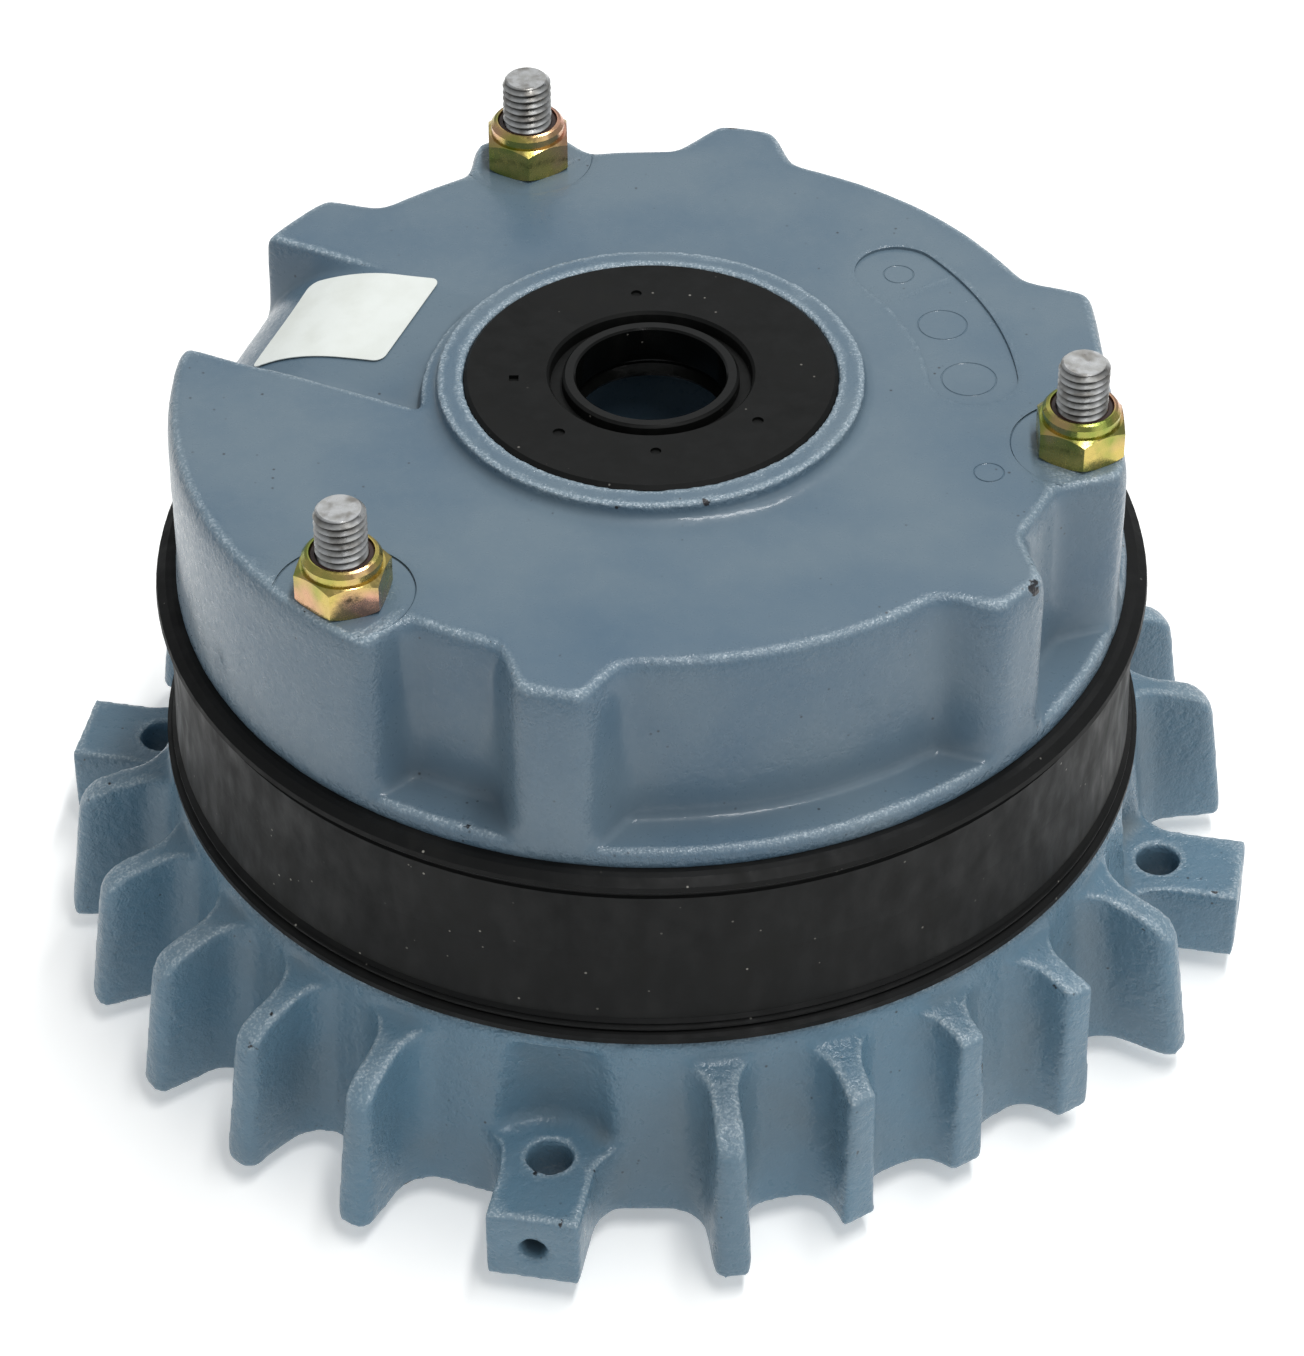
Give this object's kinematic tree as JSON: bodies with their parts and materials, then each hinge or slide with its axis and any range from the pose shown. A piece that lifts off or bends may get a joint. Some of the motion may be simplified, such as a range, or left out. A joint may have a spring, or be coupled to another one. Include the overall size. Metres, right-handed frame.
{
  "type": "spring-applied motor brake",
  "caption": "Round spring-applied brake for an electric motor's rear end: finned end bell, rubber sealing collar, lobed magnet body on studs, and a toothed brake disc inside.",
  "frame": {"origin": "centre of the flange plane that meets the motor housing, on the shaft axis", "axes": "+Z along the shaft away from the motor, towards the seal; the pictured front faces -Y"},
  "size_m": [0.1972, 0.1972, 0.118],
  "materials": {
    "blue_grey_paint": "satin paint on a cast surface",
    "black_rubber": "matte",
    "yellow_zinc": "yellow zinc plate",
    "grey_zinc": "grey zinc plate",
    "nylon": "dark polyamide",
    "stainless": "rolled sheet",
    "steel": "machined",
    "spring_steel": "oiled",
    "aluminium_disc": "machined",
    "friction_lining": "pressed friction compound",
    "coil_plastic": "moulded",
    "enamelled_wire": "enamelled copper",
    "potting_resin": "cast resin",
    "lead_sheath": "cable sheath",
    "label_paper": "matte paper"
  },
  "bodies": {
    "housing": {"end_shield": "blue_grey_paint", "magnet_body": "blue_grey_paint", "wear_plate": "stainless", "coil_bobbin": "coil_plastic", "coil_winding": "enamelled_wire", "coil_potting": "potting_resin", "coil_lead": "lead_sheath", "lead_grommet": "black_rubber", "brake_springs": "spring_steel", "guide_pins": "steel", "studs": "grey_zinc", "lock_nuts": "yellow_zinc", "nut_inserts": "nylon", "pressure_rings": "steel", "counter_springs": "spring_steel", "sealing_collar": "black_rubber", "shaft_seal": "black_rubber", "paper_label": "label_paper"},
    "armature": {"pressure_plate": "steel", "damping_plate": "stainless"},
    "hub": {"driver_hub": "steel"},
    "brake_disc": {"disc_carrier": "aluminium_disc", "lining_motor_side": "friction_lining", "lining_magnet_side": "friction_lining"}
  },
  "joints": [
    {"name": "armature_lift", "type": "slide", "parent": "housing", "child": "armature", "axis": [0, 0, 1], "range_m": [0, 0.0004], "stiffness_N_per_m": 2000, "springref_m": -0.01, "deforming": ["brake_springs"]},
    {"name": "hub_spin", "type": "hinge", "parent": "housing", "child": "hub", "pos_m": [0, 0, 0.042], "axis": [0, 0, 1], "continuous": true},
    {"name": "disc_float", "type": "slide", "parent": "hub", "child": "brake_disc", "axis": [0, 0, 1], "range_m": [0, 0.0002]}
  ],
  "couplings": [
    {"joint": "disc_float", "follows": "armature_lift", "ratio": 0.5}
  ]
}
